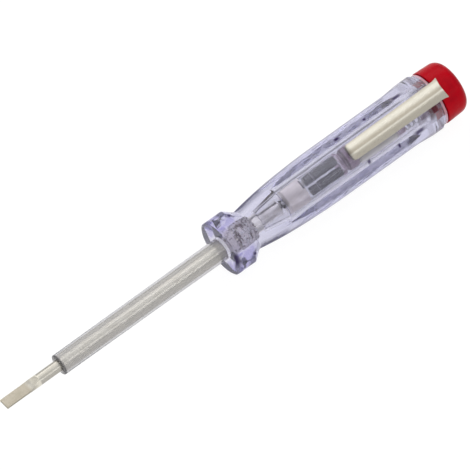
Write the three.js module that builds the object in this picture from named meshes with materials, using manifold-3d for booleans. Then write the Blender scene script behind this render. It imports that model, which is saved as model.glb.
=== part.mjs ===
import * as THREE from 'three';
import { mergeVertices } from 'three/addons/utils/BufferGeometryUtils.js';
import Module from 'manifold-3d';

// A mains voltage tester screwdriver. Lengths are in millimetres.
// The tool is built along X with the tip of its blade at x = 0 and its pocket clip on the +Z side.
// The last lines turn it about its axis, so that it lies on one flat of its handle.

const wasm = await Module();
wasm.setup();

// Fits
const clearance = 0.3;
const overrun = 2;
const weldDistance = 0.00001;

// Blade: a round steel rod, ground flat on two sides at the tip and knurled where the handle grips it
const bladeReach = 67.4;
const bladeDiameter = 3;
const tipThickness = 0.6;
const tipFlatLength = 6.2;
const grindingRadius = 5.2;
const knurlDiameter = 4;
const knurlDepth = 0.3;
const knurlLength = 5.6;
const bladeTailLength = 8.5;
const bladeTailChamfer = 0.4;
const knurlTeeth = 18;

// Sleeve: a clear tube over the bare rod, its rear end held in the collar
const bareBladeLength = 17.1;
const sleeveFrontDiameter = 5.5;
const sleeveRearDiameter = 5.85;
const sleeveSeatDepth = 3;
const sleeveStopThickness = 0.4;

// Handle: a clear moulding with a six-sided collar, a waist and a six-sided grip
const handleLength = 65.5;
const collarDiameter = 15.8;
const collarAcrossFlats = 14.8;
const collarLength = 4.6;
const collarChamfer = 0.6;
const collarSlopeLength = 3.3;
const waistDiameter = 10.8;
const swellLength = 25;
const gripDiameter = 15.2;
const gripAcrossFlats = 14.4;
const flatRunIn = 17;
const runOutDistance = 9.9;
const runOutRadius = 26;
const rimDiameter = 14.2;
const rimLength = 1.1;
const rimChamfer = 0.5;
const boreDiameter = 6.8;
const boreConeDiameter = 3.9;
const boreConeLength = 6.9;
const boreConeGap = 2.1;

// Neon lamp
const frontBeadDiameter = 2.6;
const frontBeadLength = 0.9;
const lampCapDiameter = 6.2;
const lampCapLength = 5.5;
const lampCapWall = 0.25;
const glassDiameter = 5.5;
const glassWall = 0.4;
const glassShare = 0.3951;
const glassNeckLength = 0.5;
const glassNeckDiameter = 4.3;
const stemDiameter = 3.8;
const stemLength = 4.4;
const leadDiameter = 0.5;
const electrodeDiameter = 1.9;
const electrodeSpacing = 2.4;
const electrodePlace = 7.3;
const electrodeFootLength = 1.8;
const electrodeGrooveLength = 0.4;
const electrodeGrooveDepth = 0.3;
const electrodeEndGap = 1;

// Resistor
const rearBeadDiameter = 3.4;
const rearBeadLength = 0.5;
const resistorShare = 0.3986;
const resistorCapDiameter = 4.9;
const resistorCapLength = 2.6;
const resistorCapWall = 0.3;
const resistorCoreDiameter = 4.1;
const resistorLeadDiameter = 0.7;
const resistorLeadLength = 2.4;

// Contact spring
const springWire = 0.6;
const springDiameter = 5.2;
const springPitch = 1.65;

// Pocket clip and its foot, one bent strip on the real tool
const clipThickness = 0.45;
const clipLift = 1.3;
const clipFrontWidth = 4.4;
const clipRearWidth = 5.1;
const clipFlareWidth = 5.6;
const clipFlareLength = 1.3;
const clipFlareTip = 0.25;
const clipCrownRadius = 6;
const clipLength = 29.3;
const clipEndRadius = 0.9;
const clipSetback = 0.75;
const clipSeamHeight = 6.4;
const clipTurnDegrees = 4.4;
const footWidth = 2.4;
const footReach = 2.2;

// Cap: a red stopper whose plug closes the bore
const capLength = 6.8;
const capDiameter = 14.5;
const capPlugLength = 2.5;
const capEdgeLength = 2.4;
const capFaceDiameter = 9.6;
const capTaper = 0.2;

// Numbers of sides and steps
const roundSides = 48;
const smallSides = 24;
const electrodeSides = 16;
const wireSides = 8;
const arcSteps = 6;
const flats = 6;
const springSteps = 8;
const springSides = 5;
const springBendSteps = 3;

// Places along the tool
const handleFront = bladeReach;
const handleRear = handleFront + handleLength;
const sleeveRear = handleFront + sleeveSeatDepth;
const knurlFront = sleeveRear + 2 * clearance + sleeveStopThickness;
const knurlRear = knurlFront + knurlLength;
const bladeRear = knurlRear + bladeTailLength;
const waistPlace = handleFront + collarLength + collarSlopeLength;
const boreConeFront = knurlRear + boreConeGap;
const boreFront = boreConeFront + boreConeLength;
const runOutPlace = handleRear - runOutDistance;
const rimFront = handleRear - rimLength;

const capFront = handleRear + clearance;
const plugFront = capFront - capPlugLength;
const footFront = plugFront - clearance - clipThickness;

// The lamp, the resistor and the spring fill the bore from the blade to the foot.
const frontBeadFront = bladeRear + clearance;
const lampCapFront = frontBeadFront + frontBeadLength + clearance;
const springRear = footFront - clearance;
const stackLength = springRear - lampCapFront;
const glassFront = lampCapFront + lampCapWall + clearance;
const glassRear = glassFront + glassShare * stackLength;
const stemFront = glassFront + clearance;
const electrodeFront = lampCapFront + electrodePlace;
const electrodeRear = glassRear - electrodeEndGap;
const rearBeadFront = glassRear + clearance;
const resistorFront = rearBeadFront + rearBeadLength + clearance;
const resistorRear = resistorFront + resistorShare * stackLength;
const springFront = resistorRear + clearance;

const legFront = handleRear + clipSetback;
const legRear = legFront + clipThickness;
const clipFront = legRear + clipFlareTip - clipLength;

// Heights above the axis
const gripRadius = gripDiameter / 2;
const boreRadius = boreDiameter / 2;
const clipUnderside = gripRadius + clipLift;
const clipTop = clipUnderside + clipThickness;
const footTop = Math.sqrt((boreRadius - clearance) ** 2 - (footWidth / 2) ** 2);
const plugFlat = footTop - clipThickness - clearance;

function solid(geometry) {
  const bare = geometry.index ? geometry.toNonIndexed() : geometry.clone();
  bare.deleteAttribute('normal');
  bare.deleteAttribute('uv');
  const merged = mergeVertices(bare, weldDistance);
  return new wasm.Manifold(new wasm.Mesh({
    numProp: 3,
    vertProperties: new Float32Array(merged.attributes.position.array),
    triVerts: new Uint32Array(merged.index.array),
  }));
}

function faceted(body) {
  const mesh = body.getMesh();
  const geometry = new THREE.BufferGeometry();
  geometry.setAttribute('position', new THREE.BufferAttribute(new Float32Array(mesh.vertProperties), 3));
  geometry.setIndex(new THREE.BufferAttribute(new Uint32Array(mesh.triVerts), 1));
  geometry.computeVertexNormals();
  return geometry;
}

// A body of revolution about the tool's axis, from [place, radius] pairs.
function turned(profile, sides = smallSides) {
  const points = profile.map(([place, radius]) => new THREE.Vector2(radius, place));
  const geometry = new THREE.LatheGeometry(points, sides);
  geometry.rotateZ(-Math.PI / 2);
  return solid(geometry);
}

// A ring about the axis: its outline closes on itself.
function ring(profile, sides = smallSides) {
  return turned([...profile, profile[0]], sides);
}

// An outline drawn along the tool and upwards, given a width across it.
function sideOutline(shape, width) {
  const geometry = new THREE.ExtrudeGeometry(shape, { depth: width, bevelEnabled: false, curveSegments: arcSteps });
  geometry.translate(0, 0, -width / 2);
  geometry.rotateX(Math.PI / 2);
  return solid(geometry);
}

// An outline drawn from above, given a height from bottom to top.
function planOutline(shape, bottom, top) {
  const geometry = new THREE.ExtrudeGeometry(shape, {
    depth: top - bottom,
    bevelEnabled: false,
    curveSegments: arcSteps,
  });
  geometry.translate(0, 0, bottom);
  return solid(geometry);
}

// A cross-section of the tool, carried along it from front to rear.
function crossSection(shape, front, rear) {
  const geometry = new THREE.ExtrudeGeometry(shape, {
    depth: rear - front,
    bevelEnabled: false,
    curveSegments: arcSteps,
  });
  const along = new THREE.Vector3(1, 0, 0);
  const across = new THREE.Vector3(0, 1, 0);
  const up = new THREE.Vector3(0, 0, 1);
  geometry.applyMatrix4(new THREE.Matrix4().makeBasis(across, up, along));
  geometry.translate(front, 0, 0);
  return solid(geometry);
}

function block(front, rear, width, bottom, top) {
  const geometry = new THREE.BoxGeometry(rear - front, width, top - bottom);
  geometry.translate((front + rear) / 2, 0, (bottom + top) / 2);
  return solid(geometry);
}

function about(body, degrees) {
  return body.rotate([degrees, 0, 0]);
}

// A wire of one thickness along a list of points.
function wire(points, diameter) {
  const path = new THREE.CurvePath();
  for (let i = 1; i < points.length; i += 1) {
    path.add(new THREE.LineCurve3(points[i - 1], points[i]));
  }
  const section = new THREE.Shape();
  section.absarc(0, 0, diameter / 2, 0, 2 * Math.PI);
  return solid(new THREE.ExtrudeGeometry(section, {
    steps: Math.ceil(path.getLength() / diameter),
    extrudePath: path,
    curveSegments: wireSides,
    bevelEnabled: false,
  }));
}

function bladeBody() {
  const radius = bladeDiameter / 2;
  const rod = turned([
    [0, 0],
    [0, radius],
    [bladeRear - bladeTailChamfer, radius],
    [bladeRear, radius - bladeTailChamfer],
    [bladeRear, 0],
  ]);

  const knurl = new THREE.Shape();
  for (let i = 0; i < 2 * knurlTeeth; i += 1) {
    const angle = (i * Math.PI) / knurlTeeth;
    const reach = knurlDiameter / 2 - (i % 2) * knurlDepth;
    const point = [reach * Math.sin(angle), reach * Math.cos(angle)];
    if (i === 0) {
      knurl.moveTo(...point);
    } else {
      knurl.lineTo(...point);
    }
  }
  knurl.closePath();

  const grind = new THREE.Shape();
  const top = radius + overrun;
  const centre = tipThickness / 2 + grindingRadius;
  const sweep = Math.acos((centre - top) / grindingRadius);
  grind.moveTo(-overrun, top);
  grind.lineTo(-overrun, tipThickness / 2);
  grind.lineTo(tipFlatLength, tipThickness / 2);
  grind.absarc(tipFlatLength, centre, grindingRadius, -Math.PI / 2, -Math.PI / 2 + sweep);
  grind.closePath();
  const upperGrind = sideOutline(grind, bladeDiameter + overrun);

  // The ground faces lie level with a flat of the handle.
  const halfFlat = 180 / flats;
  return rod
    .add(crossSection(knurl, knurlFront, knurlRear))
    .subtract(about(upperGrind, -halfFlat))
    .subtract(about(upperGrind, 180 - halfFlat));
}

function sleeveBody() {
  const inner = bladeDiameter / 2 + clearance;
  return ring([
    [bareBladeLength, inner],
    [bareBladeLength, sleeveFrontDiameter / 2],
    [sleeveRear, sleeveRearDiameter / 2],
    [sleeveRear, inner],
  ]);
}

// The outline of the waist swells into the grip along one long arc.
function swell() {
  const rise = (gripDiameter - waistDiameter) / 2;
  const radius = (swellLength ** 2 + rise ** 2) / (2 * rise);
  const steps = 2 * arcSteps;
  const points = [];
  for (let i = 0; i <= steps; i += 1) {
    const left = swellLength * (1 - i / steps);
    const drop = radius - Math.sqrt(radius ** 2 - left ** 2);
    points.push([waistPlace + swellLength - left, gripRadius - drop]);
  }
  return points;
}

// The flats of the grip begin at the waist, follow the swell and reach their full depth behind it.
function gripFlatLine() {
  const cut = gripRadius - gripAcrossFlats / 2;
  return swell().map(([place, radius]) => {
    const share = Math.min((place - waistPlace) / flatRunIn, 1);
    return [place, radius - share * cut * (radius / gripRadius)];
  });
}

// Cutters for the flats, each outlined from the side by the line of its flat.
function flatCutters(line, rear, runOut) {
  const height = line[line.length - 1][1];
  const top = collarDiameter / 2 + overrun;
  const outline = new THREE.Shape();
  outline.moveTo(line[0][0], top);
  for (const [place, reach] of line) {
    outline.lineTo(place, reach);
  }
  outline.lineTo(rear, height);
  if (runOut) {
    const sweep = Math.acos(1 - (top - height) / runOutRadius);
    outline.absarc(rear, height + runOutRadius, runOutRadius, -Math.PI / 2, -Math.PI / 2 + sweep);
  } else {
    outline.lineTo(rear, top);
  }
  outline.closePath();
  const cutter = sideOutline(outline, collarDiameter);
  const angles = Array.from({ length: flats }, (_, i) => (360 / flats) * (i + 1 / 2));
  return angles.map((angle) => about(cutter, angle));
}

function handleBody() {
  const collarRadius = collarDiameter / 2;
  const sleeveSeat = sleeveRearDiameter / 2 + clearance;
  const bladeHole = bladeDiameter / 2 + clearance;
  const knurlHole = knurlDiameter / 2 + clearance;
  const collarSlope = handleFront + collarLength;
  let body = ring([
    [handleFront, sleeveSeat],
    [handleFront, collarRadius - collarChamfer],
    [handleFront + collarChamfer, collarRadius],
    [collarSlope, collarRadius],
    ...swell(),
    [rimFront - rimChamfer, gripRadius],
    [rimFront, rimDiameter / 2],
    [handleRear, rimDiameter / 2],
    [handleRear, boreRadius],
    [boreFront, boreRadius],
    [boreConeFront, boreConeDiameter / 2],
    [boreConeFront, bladeHole],
    [knurlRear + clearance, bladeHole],
    [knurlRear + clearance, knurlHole],
    [knurlFront - clearance, knurlHole],
    [knurlFront - clearance, bladeHole],
    [sleeveRear + clearance, bladeHole],
    [sleeveRear + clearance, sleeveSeat],
  ], roundSides);
  const collarFlatLine = [[handleFront - overrun, collarAcrossFlats / 2]];
  for (const cutter of flatCutters(collarFlatLine, waistPlace, false)) {
    body = body.subtract(cutter);
  }
  for (const cutter of flatCutters(gripFlatLine(), runOutPlace, true)) {
    body = body.subtract(cutter);
  }
  return body;
}

// A bead of solder: a rounded nose towards the blade and a flat back.
function bead(front, length, diameter) {
  const profile = [];
  for (let i = 0; i <= arcSteps; i += 1) {
    const angle = (i / arcSteps) * (Math.PI / 2);
    profile.push([front + length * (1 - Math.cos(angle)), (diameter / 2) * Math.sin(angle)]);
  }
  profile.push([front + length, 0]);
  return turned(profile);
}

// A metal cup that is open on one side, with a hole through its closed end.
function cup(closedEnd, openEnd, diameter, wall, hole) {
  const inside = closedEnd + Math.sign(openEnd - closedEnd) * wall;
  const outer = diameter / 2;
  const profile = [
    [closedEnd, hole / 2],
    [closedEnd, outer],
    [openEnd, outer],
    [openEnd, outer - wall],
    [inside, outer - wall],
    [inside, hole / 2],
  ];
  return ring(openEnd > closedEnd ? profile : profile.reverse());
}

function glassBody() {
  const outer = glassDiameter / 2;
  const neck = glassNeckDiameter / 2;
  const shoulder = glassRear - glassNeckLength;
  return ring([
    [glassFront, outer - glassWall],
    [glassFront, outer],
    [shoulder, outer],
    [glassRear, neck],
    [glassRear, neck - glassWall],
    [shoulder, outer - glassWall],
  ]);
}

function stemBody() {
  const hole = leadDiameter / 2 + clearance;
  const stemRear = stemFront + stemLength;
  return ring([
    [stemFront, hole],
    [stemFront, stemDiameter / 2],
    [stemRear - stemDiameter / 2, stemDiameter / 2],
    [stemRear, hole + glassWall],
    [stemRear, hole],
  ]);
}

function electrodeBody(side) {
  const radius = electrodeDiameter / 2;
  const groove = radius - electrodeGrooveDepth;
  const grooveFront = electrodeFront + electrodeFootLength;
  const grooveRear = grooveFront + electrodeGrooveLength;
  const rod = turned([
    [electrodeFront, 0],
    [electrodeFront, radius],
    [grooveFront, radius],
    [grooveFront, groove],
    [grooveRear, groove],
    [grooveRear, radius],
    [electrodeRear, radius],
    [electrodeRear, 0],
  ], electrodeSides);
  return rod.translate([0, (side * electrodeSpacing) / 2, 0]);
}

function frontLeadBody() {
  return wire([
    new THREE.Vector3(lampCapFront, 0, 0),
    new THREE.Vector3(stemFront + stemLength + leadDiameter, 0, 0),
    new THREE.Vector3(electrodeFront - clearance, electrodeSpacing / 2, 0),
  ], leadDiameter);
}

function rearLeadBody() {
  return wire([
    new THREE.Vector3(electrodeRear + clearance, -electrodeSpacing / 2, 0),
    new THREE.Vector3(rearBeadFront - clearance, -electrodeSpacing / 2, 0),
  ], leadDiameter);
}

function resistorCoreBody() {
  const radius = resistorCoreDiameter / 2;
  const inset = resistorCapWall + clearance;
  return turned([
    [resistorFront + inset, 0],
    [resistorFront + inset, radius],
    [resistorRear - inset, radius],
    [resistorRear - inset, 0],
  ]);
}

function resistorLeadBody() {
  const radius = resistorLeadDiameter / 2;
  const start = resistorRear + clearance;
  return turned([
    [start, 0],
    [start, radius],
    [start + resistorLeadLength, radius],
    [start + resistorLeadLength, 0],
  ], wireSides);
}

// The spring's centreline: a helix whose two ends turn to run along the axis for one wire's thickness.
function springPath() {
  const radius = (springDiameter - springWire) / 2;
  const turn = springWire;
  const straight = springWire;
  const endLength = turn + straight;
  const curls = (springRear - springFront - 2 * endLength) / springPitch;
  const steps = Math.round(curls * springSteps);
  const helix = [];
  for (let i = 0; i <= steps; i += 1) {
    const angle = (i / steps) * curls * 2 * Math.PI;
    helix.push([springFront + endLength + (i / steps) * curls * springPitch, angle]);
  }
  const front = [];
  const rear = [];
  for (let i = 1; i <= springBendSteps; i += 1) {
    const bend = (i / springBendSteps) * (Math.PI / 2);
    const drift = (turn * Math.sin(bend)) / radius;
    const advance = turn * (1 - Math.cos(bend));
    front.unshift([springFront + endLength - advance, -drift]);
    rear.push([springRear - endLength + advance, curls * 2 * Math.PI + drift]);
  }
  const places = [[springFront, front[0][1]], ...front, ...helix, ...rear, [springRear, rear.at(-1)[1]]];
  return places.map(([x, angle]) => new THREE.Vector3(x, radius * Math.cos(angle), radius * Math.sin(angle)));
}

function tangentAt(path, i) {
  const before = path[Math.max(i - 1, 0)];
  const after = path[Math.min(i + 1, path.length - 1)];
  return after.clone().sub(before).normalize();
}

function leastGap(path) {
  const halfCurl = springSteps / 2;
  let least = Infinity;
  for (let i = 0; i < path.length; i += 1) {
    for (let j = i + halfCurl; j < path.length; j += 1) {
      least = Math.min(least, path[i].distanceTo(path[j]));
    }
  }
  return least - springWire;
}

function springGeometry() {
  const path = springPath();
  const positions = [];
  const faces = [];
  let normal = new THREE.Vector3(0, 1, 0);
  path.forEach((point, i) => {
    const tangent = tangentAt(path, i);
    normal = normal.sub(tangent.clone().multiplyScalar(normal.dot(tangent))).normalize();
    const binormal = tangent.clone().cross(normal);
    for (let k = 0; k < springSides; k += 1) {
      const angle = (k / springSides) * 2 * Math.PI;
      const spoke = normal.clone().multiplyScalar((Math.cos(angle) * springWire) / 2)
        .add(binormal.clone().multiplyScalar((Math.sin(angle) * springWire) / 2));
      positions.push(...point.clone().add(spoke).toArray());
    }
    if (i === 0) {
      return;
    }
    for (let k = 0; k < springSides; k += 1) {
      const next = (k + 1) % springSides;
      const low = (i - 1) * springSides;
      const high = i * springSides;
      faces.push(low + k, low + next, high + next);
      faces.push(low + k, high + next, high + k);
    }
  });
  const last = (path.length - 1) * springSides;
  for (let k = 1; k < springSides - 1; k += 1) {
    faces.push(0, k + 1, k);
    faces.push(last, last + k, last + k + 1);
  }
  const geometry = new THREE.BufferGeometry();
  geometry.setAttribute('position', new THREE.BufferAttribute(new Float32Array(positions), 3));
  geometry.setIndex(faces);
  console.log(`contact_spring: least gap between its turns ${leastGap(path).toFixed(3)} mm`);
  return geometry;
}

// The strip's section: an arched band as thick as the strip, crowned away from the handle.
function stripSection(width) {
  const half = width / 2;
  const section = new THREE.Shape();
  const outer = clipCrownRadius;
  const inner = clipCrownRadius - clipThickness;
  const reach = Math.asin(half / inner);
  const centre = clipTop - clipCrownRadius;
  section.absarc(0, centre, outer, Math.PI / 2 - reach, Math.PI / 2 + reach, false);
  section.absarc(0, centre, inner, Math.PI / 2 + reach, Math.PI / 2 - reach, true);
  section.closePath();
  return section;
}

function clipPlan() {
  const front = clipFrontWidth / 2;
  const rear = clipRearWidth / 2;
  const flare = clipFlareWidth / 2;
  const flareFront = legRear - clipFlareLength;
  const tip = legRear + clipFlareTip;
  const corner = clipEndRadius;
  const plan = new THREE.Shape();
  plan.moveTo(clipFront, corner - front);
  plan.absarc(clipFront + corner, corner - front, corner, Math.PI, 1.5 * Math.PI, false);
  plan.lineTo(flareFront, -rear);
  plan.lineTo(tip, -flare);
  plan.quadraticCurveTo(legRear - clipFlareTip, 0, tip, flare);
  plan.lineTo(flareFront, rear);
  plan.absarc(clipFront + corner, front - corner, corner, Math.PI / 2, Math.PI, false);
  plan.closePath();
  return plan;
}

// The free end turns down to the handle. Its outline is drawn from the side.
function clipLip() {
  const outer = clipEndRadius;
  const inner = clipEndRadius - clipThickness;
  const centreX = clipFront + outer;
  const centreZ = clipTop - outer;
  const lip = new THREE.Shape();
  lip.moveTo(clipFront, gripRadius + clearance);
  lip.lineTo(clipFront + clipThickness, gripRadius + clearance);
  lip.lineTo(clipFront + clipThickness, centreZ);
  lip.absarc(centreX, centreZ, inner, Math.PI, Math.PI / 2, true);
  lip.lineTo(centreX, clipTop);
  lip.absarc(centreX, centreZ, outer, Math.PI / 2, Math.PI, false);
  lip.closePath();
  return sideOutline(lip, clipFrontWidth - 2 * clipEndRadius);
}

function clipBody() {
  const strip = crossSection(stripSection(clipFlareWidth), clipFront, legRear + clipFlareTip)
    .intersect(planOutline(clipPlan(), 0, clipTop + overrun));
  const shoulder = capDiameter / 2 + clearance;
  const crownDrop = clipThickness / 2;
  const root = block(legFront, legRear, clipRearWidth - clipFlareLength, shoulder, clipTop - crownDrop);
  const tab = block(legFront, legRear, footWidth, clipSeamHeight + clearance, clipTop - crownDrop);
  return strip.add(clipLip()).add(root).add(tab);
}

// The foot goes down behind the handle, forward over the plug and down across its nose.
function footBody() {
  const foot = new THREE.Shape();
  foot.moveTo(legRear, clipSeamHeight);
  foot.lineTo(legFront, clipSeamHeight);
  foot.lineTo(legFront, footTop);
  foot.lineTo(footFront, footTop);
  foot.lineTo(footFront, -footReach);
  foot.lineTo(footFront + clipThickness, -footReach);
  foot.lineTo(footFront + clipThickness, footTop - clipThickness);
  foot.lineTo(legRear, footTop - clipThickness);
  foot.closePath();
  return sideOutline(foot, footWidth);
}

function capBody() {
  const radius = capDiameter / 2;
  const plug = boreRadius - clearance;
  const capRear = capFront + capLength;
  const edgeFront = capRear - capEdgeLength;
  const edge = [];
  for (let i = 0; i <= arcSteps; i += 1) {
    const angle = (i / arcSteps) * (Math.PI / 2);
    const reach = (radius - capTaper - capFaceDiameter / 2) * Math.cos(angle);
    edge.push([edgeFront + capEdgeLength * Math.sin(angle), capFaceDiameter / 2 + reach]);
  }
  const body = turned([
    [plugFront, 0],
    [plugFront, plug],
    [capFront, plug],
    [capFront, radius],
    ...edge,
    [capRear, 0],
  ], roundSides);
  const notchWidth = footWidth + 2 * clearance;
  const notch = block(capFront - overrun, legRear + clearance, notchWidth, plugFlat, radius + overrun);
  const plugCut = block(plugFront - overrun, capFront, capDiameter, plugFlat, radius);
  return body.subtract(notch).subtract(plugCut);
}

const nickel = { color: 0xcfc8b4, roughness: 0.3, metalness: 1 };
const steel = { color: 0xb9b4a3, roughness: 0.35, metalness: 1 };
const solder = { color: 0x9a9a98, roughness: 0.35, metalness: 1 };
const brightWire = { color: 0xb8b8b4, roughness: 0.35, metalness: 1 };
const springSteel = { color: 0xc6c6c4, roughness: 0.3, metalness: 1 };
const darkMetal = { color: 0x3d434a, roughness: 0.6, metalness: 0.4 };
const lacquer = { color: 0xa98b93, roughness: 0.5, metalness: 0 };
const ceramic = { color: 0xd5cfc0, roughness: 0.6, metalness: 0 };
const red = { color: 0xc40c1c, roughness: 0.3, metalness: 0 };
const lampGlass = { color: 0xf0f4f4, roughness: 0.03, metalness: 0, transparent: true, opacity: 0.35 };
const clearTube = { color: 0xd8d8d8, roughness: 0.1, metalness: 0, transparent: true, opacity: 0.5 };
const clearHandle = { color: 0xc9c8ea, roughness: 0.05, metalness: 0, transparent: true, opacity: 0.4 };

// The clip, its foot and the cap that holds them sit a little askew to the flats of the grip.
const tool = new THREE.Group();
const turnedEnd = new THREE.Group();
turnedEnd.rotation.x = THREE.MathUtils.degToRad(-clipTurnDegrees);
tool.add(turnedEnd);

function place(name, geometry, finish, holder = tool) {
  const mesh = new THREE.Mesh(geometry, new THREE.MeshStandardMaterial(finish));
  mesh.name = name;
  holder.add(mesh);
}

const capHole = leadDiameter + 2 * clearance;

place('blade', faceted(bladeBody()), steel);
place('blade_sleeve', faceted(sleeveBody()), clearTube);
place('handle', faceted(handleBody()), clearHandle);
place('front_solder_bead', faceted(bead(frontBeadFront, frontBeadLength, frontBeadDiameter)), solder);
place(
  'lamp_front_cap',
  faceted(cup(lampCapFront, lampCapFront + lampCapLength, lampCapDiameter, lampCapWall, capHole)),
  nickel,
);
place('lamp_glass', faceted(glassBody()), lampGlass);
place('lamp_stem', faceted(stemBody()), lampGlass);
place('front_electrode', faceted(electrodeBody(1)), darkMetal);
place('rear_electrode', faceted(electrodeBody(-1)), darkMetal);
place('front_lead', faceted(frontLeadBody()), brightWire);
place('rear_lead', faceted(rearLeadBody()), brightWire);
place('rear_solder_bead', faceted(bead(rearBeadFront, rearBeadLength, rearBeadDiameter)), solder);
place(
  'resistor_front_cap',
  faceted(cup(resistorFront, resistorFront + resistorCapLength, resistorCapDiameter, resistorCapWall, 0)),
  lacquer,
);
place('resistor_core', faceted(resistorCoreBody()), ceramic);
place(
  'resistor_rear_cap',
  faceted(cup(resistorRear, resistorRear - resistorCapLength, resistorCapDiameter, resistorCapWall, 0)),
  lacquer,
);
place('resistor_lead', faceted(resistorLeadBody()), brightWire);
place('contact_spring', springGeometry(), springSteel);
place('clip_foot', faceted(footBody()), nickel, turnedEnd);
place('pocket_clip', faceted(clipBody()), nickel, turnedEnd);
place('cap', faceted(capBody()), red, turnedEnd);

// The tool lies on one flat, centred on its length and with its lowest edge at z = 0.
const toolLength = capFront + capLength;
tool.rotation.x = Math.PI / flats;
tool.position.set(-toolLength / 2, 0, gripRadius);

const group = new THREE.Group();
group.add(tool);

export default group;
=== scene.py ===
import math
from functools import partial, partialmethod

import bmesh
import bpy
import numpy as np
from mathutils import Matrix, Vector


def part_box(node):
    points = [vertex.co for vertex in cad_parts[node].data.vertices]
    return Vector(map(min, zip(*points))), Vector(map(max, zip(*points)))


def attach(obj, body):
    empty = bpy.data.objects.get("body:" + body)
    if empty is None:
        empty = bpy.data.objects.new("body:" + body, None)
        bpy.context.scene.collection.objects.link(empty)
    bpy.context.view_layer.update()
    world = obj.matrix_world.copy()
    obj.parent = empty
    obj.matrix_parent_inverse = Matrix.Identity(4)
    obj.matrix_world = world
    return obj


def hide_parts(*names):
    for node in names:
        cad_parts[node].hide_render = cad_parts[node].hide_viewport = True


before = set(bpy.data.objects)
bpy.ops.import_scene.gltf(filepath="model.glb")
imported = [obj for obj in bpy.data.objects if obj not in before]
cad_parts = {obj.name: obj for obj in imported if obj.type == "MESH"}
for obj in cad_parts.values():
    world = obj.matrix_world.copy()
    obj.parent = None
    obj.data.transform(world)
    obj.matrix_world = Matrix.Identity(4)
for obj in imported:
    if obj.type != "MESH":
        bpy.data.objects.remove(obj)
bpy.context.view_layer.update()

# Sizes are in millimetres in the tool's own directions: along from the tip of the blade, across, and up
# through an edge of the grip. The tool lies on one flat of its handle, so that edge leans from upright
# towards -Y. The clip and the cap sit a little askew to the flats.
MM = 0.001
TOOL_LENGTH = 140.0
GRIP_RADIUS = 7.6
TOOL_LEAN = math.radians(30)
CLIP_TURN = math.radians(-4.4)
TOOL_PLACE = Vector((-TOOL_LENGTH / 2, 0, GRIP_RADIUS)) * MM
CLIP_LEAN = Matrix.Rotation(TOOL_LEAN + CLIP_TURN, 4, "X")
CLIP_PLACE = Matrix.Translation(TOOL_PLACE) @ CLIP_LEAN @ Matrix.Scale(MM, 4)

# Pieces keep FIT_GAP to each other. Where a clear one grips another they overlap by WETTED instead, so that
# no film of air shows between them. NO_FLATS is the height of a flat that cuts nothing.
FIT_GAP = 0.03
WETTED = 0.02
FLATS = 6
NO_FLATS = 100.0
FLAT_EDGE_SOFTNESS = 0.3
STATION_GAP = 0.3
CORNER_LEAD = 0.2
LEAST_ROUNDING = 0.005
MOST_OF_SIDE = 0.45
NEARLY_STRAIGHT = -0.985
SHARP_ANGLE = math.radians(38)
BLADE_SHARP_ANGLE = math.radians(20)

BLADE_RADIUS = 1.5
TIP_THICKNESS = 0.6
TIP_FLAT_LENGTH = 6.2
GRINDING_RADIUS = 8.0
GRINDING_END = 10.6
TIP_BEVEL = 0.05
BLADE_CHAMFER = 0.4
KNURL_FRONT = 71.4
KNURL_REAR = 77.0
KNURL_RADIUS = 2.0
KNURL_DEPTH = 0.3
KNURL_TEETH = 18
KNURL_ROWS = 12
KNURL_POINT = 0.06
KNURL_OVERLAP = 1.02
# Painted highlights and painted shade in lines along the rod: place across, half width and colour.
PAINTED_SHEEN_LINES = (
    (0.62, 0.16, (0.80, 0.78, 0.72)),
    (-0.34, 0.13, (0.92, 0.89, 0.82)),
    (-0.72, 0.20, (0.34, 0.32, 0.29)),
)

ROD_BORE = BLADE_RADIUS - WETTED
KNURL_BORE = KNURL_RADIUS - KNURL_DEPTH - WETTED
SLEEVE_START = 17.1
SLEEVE_FRONT_RADIUS = 2.75
SLEEVE_REAR_RADIUS = 2.925

COLLAR_RADIUS = 7.9
COLLAR_APOTHEM = 7.4
COLLAR_CHAMFER = 0.6
COLLAR_ROUNDING = 0.45
COLLAR_REAR = 72.0
WAIST_PLACE = 75.3
WAIST_RADIUS = 5.4
WAIST_BLEND = 1.5
SWELL_LENGTH = 25.0
FLAT_RUN_IN = 17.0
GRIP_APOTHEM = 7.2
RUN_OUT_DISTANCE = 9.9
RUN_OUT_RADIUS = 26.0
RIM_LENGTH = 1.1
RIM_CHAMFER = 0.5
RIM_RADIUS = 7.1
BORE_RADIUS = 3.4
BORE_ROUNDING = 0.12
BORE_CONE_RADIUS = 1.95
BORE_CONE_FRONT = 79.1
BORE_CONE_REAR = 86.0
LAMP_SEAT = 0.45
HAZE = 0.10
# Painted shade: dark spots on the handle's wall, on its near side: place along, place across, half length,
# half width.
SHADE_SPOTS = (
    (67.3, -4.3, 1.2, 2.6),
    (66.6, 3.0, 1.0, 0.6),
    (72.2, -5.6, 0.8, 0.6),
    (72.3, 5.4, 0.8, 0.6),
    (105.8, 5.3, 1.2, 0.6),
    (114.5, 5.3, 0.7, 0.5),
    (124.4, 5.2, 2.2, 0.6),
    (109.0, -3.7, 0.7, 0.8),
    (117.9, -4.8, 0.5, 0.9),
    (124.2, -4.8, 2.4, 0.7),
)

LAMP_CAP_RADIUS = 3.1
LAMP_CAP_WALL = 0.25
GLASS_RADIUS = 2.75
GLASS_WALL = 0.4
GLASS_NECK_RADIUS = 2.15
GLASS_SHOULDER = 0.5
STEM_RADIUS = 1.9
LEAD_RADIUS = 0.25
ELECTRODE_RADII = (1.08, 0.9)
ELECTRODE_OFFSET = 1.2
ELECTRODE_FOOT = 1.8
ELECTRODE_GROOVE = 0.4
ELECTRODE_GROOVE_DEPTH = 0.3
WELD_GAP = 0.05
FRONT_SOLDER_RADIUS = 1.3
REAR_SOLDER_RADIUS = 1.7

RESISTOR_CAP_RADIUS = 2.45
RESISTOR_CAP_WALL = 0.3
RESISTOR_RADIUS = 2.05
RESISTOR_LEAD_RADIUS = 0.35

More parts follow.
